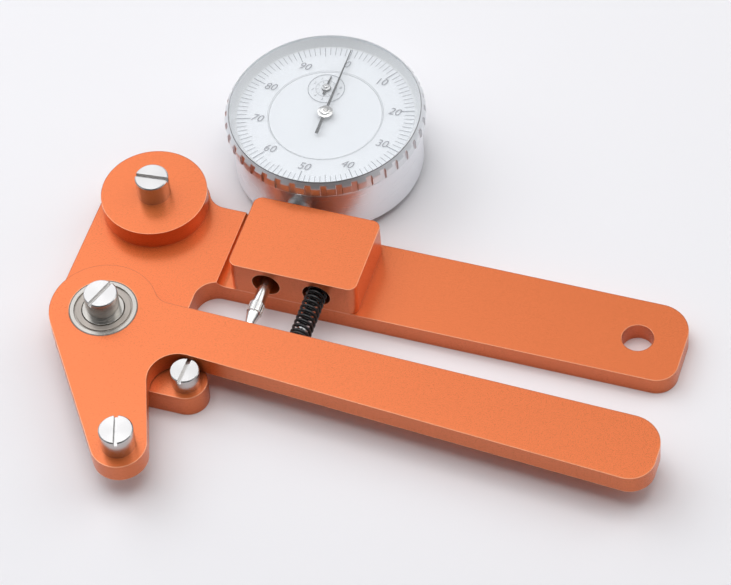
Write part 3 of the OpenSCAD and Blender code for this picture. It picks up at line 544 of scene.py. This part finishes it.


# wire is its radius; closed is how many turns lie shut at each end; ends are the y of the fixed end
# and of the moving end
returnSpring = {"radius": 2.55, "wire": 0.45, "turns": 17, "from": 5.75, "to": 32.9, "closed": 1.25,
                "sides": 14, "perTurn": 40, "ends": (33.1, 5.6)}
spindleSpring = {"radius": 1.2, "wire": 0.15, "turns": 12, "from": 58.9, "to": 69.2, "closed": 1.0,
                 "sides": 8, "perTurn": 24, "ends": (58.8, 69.3)}


def coilPath(spring, x, z):
    # a helix round the Y axis: the angle grows evenly, and y rises slowly over the closed
    # turns at each end and evenly between them
    turn = np.linspace(0, spring["turns"], spring["turns"] * spring["perTurn"] + 1)
    closed, wire = spring["closed"], spring["wire"] * 2.05
    middle = spring["turns"] - 2 * closed
    rise = (spring["to"] - spring["from"] - 2 * closed * wire) / middle
    y = spring["from"] + wire * np.clip(turn, 0, closed) + rise * np.clip(turn - closed, 0, middle)
    y += wire * np.clip(turn - closed - middle, 0, closed)
    side, rising = spring["radius"] * np.cos(tau * turn), spring["radius"] * np.sin(tau * turn)
    return np.stack([x + side, y, z + rising], -1)


def makeSpring(name, spring, node, x, z, body, finish, slot):
    # a wire coil along its helix, in place of the model's spring node
    points, faces = wireAlong(coilPath(spring, x, z), spring["wire"], spring["sides"])
    piece = addPiece(name, points, faces, None, finishes[finish])
    outward(piece)
    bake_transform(piece)
    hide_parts(node)


makeSpring("returnSpring", returnSpring, "return_spring", *places["spring"], "lever_arm",
           "blackWire", "black_spring")
makeSpring("spindleSpring", spindleSpring, "spindle_spring", *places["spindleSpring"], "spindle_rod",
           "plainSteel", "polished_steel")
print("springs")


# radii and places from the gauge's axis in mm; ticks in the order plain, fifth, tenth
dial = {
    "level": 20.806,
    "thick": 0.012,
    "ticks": 100,
    "tickOuter": 25.15,
    "tickInner": (22.4, 21.8, 21.2),
    "tickWide": (0.13, 0.15, 0.2),
    "numberAt": 19.45,
    "numberSize": 3.5,
    "seam": (16.4, 0.07),
    "slant": 0.28,
    "smallAt": (-2.8, 9.39),
    "smallRings": ((5.2, 0.16), (3.0, 0.08)),
    "smallNumberAt": 4.0,
    "smallNumberSize": 1.15,
    "smallTick": (2.2, 2.9, 0.09),
}


def plates(corners, level, thick):
    # thin plates standing on a level: corners is (n, 4, 2), and each plate gets a top and four sides
    count = len(corners)
    low = np.concatenate([corners, np.full((count, 4, 1), level)], -1)
    high = low + [0, 0, thick]
    points = np.concatenate([low, high], 1).reshape(-1, 3)
    block = np.array([(3, 2, 1, 0), (4, 5, 6, 7), (0, 1, 5, 4), (1, 2, 6, 5), (2, 3, 7, 6), (3, 0, 4, 7)])
    return points, (block[None] + 8 * np.arange(count)[:, None, None]).reshape(-1, 4).tolist()


def spokesOnDial(angles, inner, outer, wide):
    # four corners of a bar from radius inner to outer at each angle, measured clockwise from +Y
    out = np.stack([np.sin(angles), np.cos(angles)], -1)
    side = np.stack([np.cos(angles), -np.sin(angles)], -1) * wide[:, None] / 2
    near, far = out * inner[:, None], out * outer
    return np.stack([near - side, far - side, far + side, near + side], 1)[:, ::-1]


def hoop(radius, wide, centre, level, thick, columns=96):
    # a flat printed ring: a four-cornered profile carried round
    profile = [(radius - wide / 2, level), (radius + wide / 2, level),
               (radius + wide / 2, level + thick), (radius - wide / 2, level + thick)]
    points = turned(profile, columns, (*centre, 0)) / mm
    return points, gridFaces(4, columns, wrapRows=True)


def numberMesh(text, centre, size, level, thick):
    # a slanted numeral lying on the dial, centred on a point
    curve = bpy.data.curves.new("numeral", "FONT")
    curve.body, curve.size, curve.shear = text, size, dial["slant"]
    curve.align_x, curve.align_y = "CENTER", "CENTER"
    curve.extrude, curve.resolution_u = thick / 2, 3
    holder = bpy.data.objects.new("numeral", curve)
    bpy.context.scene.collection.objects.link(holder)
    bpy.context.view_layer.update()
    mesh = bpy.data.meshes.new_from_object(holder.evaluated_get(bpy.context.evaluated_depsgraph_get()))
    points = np.zeros(len(mesh.vertices) * 3)
    mesh.vertices.foreach_get("co", points)
    faces = [tuple(p.vertices) for p in mesh.polygons]
    bpy.data.objects.remove(holder)
    bpy.data.meshes.remove(mesh)
    bpy.data.curves.remove(curve)
    return points.reshape(-1, 3) + [centre[0], centre[1], level + thick / 2], faces


def joined(parts):
    # several (points, faces) pairs as one
    points = np.concatenate([p for p, _ in parts])
    starts = np.cumsum([0] + [len(p) for p, _ in parts[:-1]])
    faces = []
    for start, (_, many) in zip(starts.tolist(), parts):
        faces += [tuple(start + corner for corner in face) for face in many]
    return points, faces


def printPiece(name, parts, centre, body, finish):
    points, faces = joined(parts)
    points = points + [centre[0], centre[1], 0]
    addPiece(name, points * mm, faces, body, finishes[finish], False)


def makeDialPrint():
    level, thick = dial["level"], dial["thick"]
    number = np.arange(dial["ticks"])
    kind = np.where(number % 10 == 0, 2, np.where(number % 5 == 0, 1, 0))
    inner, wide = np.array(dial["tickInner"])[kind], np.array(dial["tickWide"])[kind]
    ticks = spokesOnDial(number * tau / dial["ticks"], inner, dial["tickOuter"], wide)
    seam = hoop(*dial["seam"], (0, 0), level, thick, 192)
    printPiece("scaleTicks", [plates(ticks, level, thick), seam], places["gauge"], "turning_dial", "fineInk")
    tenths = np.arange(10) * tau / 10
    clockwise = np.stack([np.sin(tenths), np.cos(tenths)], -1)
    numbers = [numberMesh(str(10 * k), dial["numberAt"] * clockwise[k], dial["numberSize"], level, thick)
               for k in range(10)]
    printPiece("scaleNumbers", numbers, places["gauge"], "turning_dial", "ink")
    small = np.array(dial["smallAt"])
    rings = [hoop(r, wide, small, level, thick) for r, wide in dial["smallRings"]]
    near, far, wide = dial["smallTick"]
    marks = spokesOnDial(tenths, np.full(10, near), far, np.full(10, wide)) + small
    # the small dial counts the other way round
    numberPlaces = small + dial["smallNumberAt"] * clockwise * (-1, 1)
    minor = [numberMesh(str(k), numberPlaces[k], dial["smallNumberSize"], level, thick) for k in range(10)]
    smallDial = rings + [plates(marks, level, thick)] + minor
    printPiece("turnCounterPrint", smallDial, places["gauge"], "frame", "fineInk")


makeDialPrint()
print("dial print")


bezel = {
    "grooves": 40,
    "firstGroove": -0.9,
    # columns of a groove in degrees from its middle; its walls stand between the columns at 1.78
    # and 1.86 degrees
    "columns": (-4.2, -3.3, -2.5, -2.1, -1.92, -1.86, -1.78, -1.6, -0.8, 0,
                0.8, 1.6, 1.78, 1.86, 1.92, 2.1, 2.5, 3.3, 4.2),
    "wall": 1.82,
    "sharp": 24,
    "floor": 27.8,
    # radius and height in mm, from the neck outwards, up, over the rim and down inside
    "profile": [
        (26.10, 17.62), (26.9, 17.61), (27.12, 17.62), (27.28, 17.68), (27.82, 18.56), (27.88, 18.66),
        (28.32, 19.36), (28.34, 19.38), (28.36, 19.44), (28.385, 19.6), (28.39, 19.8), (28.39, 21.9),
        (28.385, 22.02), (28.34, 22.16), (28.1, 22.53), (27.86, 22.92), (27.81, 22.99), (27.76, 23.07),
        (27.5, 23.46), (27.26, 23.83), (27.18, 23.94), (27.12, 23.98), (27.06, 23.95), (27.04, 23.88),
        (27.03, 23.70), (27.03, 22.92), (26.92, 22.88), (26.6, 22.4), (26.1, 21.4), (25.72, 20.75),
        (25.62, 20.62), (25.36, 20.62), (25.35, 20.02), (24.72, 20.02), (24.72, 19.72), (26.10, 19.72),
    ],
}


def makeBezel():
    # inside a groove the radius is the smaller of the profile's and the groove's floor:
    # radius(s, a) = r(s) - max(r(s) - floor, 0) * groove(a), where groove(a) is 1 between a groove's
    # two walls and 0 outside them
    radius, height = np.array(bezel["profile"]).T[:, :, None]
    column = np.tile(bezel["columns"], bezel["grooves"])
    start = np.repeat(np.arange(bezel["grooves"]), len(bezel["columns"])) * 360 / bezel["grooves"]
    angle = np.radians(start + column + bezel["firstGroove"])
    inside = np.abs(column) < bezel["wall"]
    radius = radius - np.maximum(radius - bezel["floor"], 0) * inside
    x = places["gauge"][0] + radius * np.cos(angle)
    y = places["gauge"][1] + radius * np.sin(angle)
    points = np.stack([x, y, np.broadcast_to(height, x.shape)], -1).reshape(-1, 3) * mm
    faces = gridFaces(len(height), len(column), wrapRows=True)
    piece = addPiece("knurledBezel", points, faces, "turning_dial", finishes["bezel"])
    outward(piece)
    piece.data.set_sharp_from_angle(angle=np.radians(bezel["sharp"]))
    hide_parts("bezel")


makeBezel()
print("bezel")


# the small hub is the large one with its radii times smallShare, lower by smallDrop
hub = {
    "profile": [(0.0, 22.7), (0.42, 22.72), (0.46, 22.98), (0.9, 22.96), (1.3, 22.86), (1.5, 22.66),
                (1.55, 22.5), (1.9, 22.42), (2.2, 22.3), (2.25, 22.12), (0.8, 22.1), (0.0, 22.1)],
    "columns": 48,
    "sharp": 40,
    "smallShare": 0.55,
    "smallDrop": 0.75,
}


def makeHubs():
    turnedPiece("pointerHub", hub["profile"], hub["columns"], places["gauge"], "centre_arbor",
                finishes["spindle"], hub["sharp"])
    small = np.array(hub["profile"]) * [hub["smallShare"], 1] - [0, hub["smallDrop"]]
    turnedPiece("counterHub", small, hub["columns"], places["counter"], "counter_wheel",
                finishes["plainSteel"], hub["sharp"])


makeHubs()
print("pointer hubs")
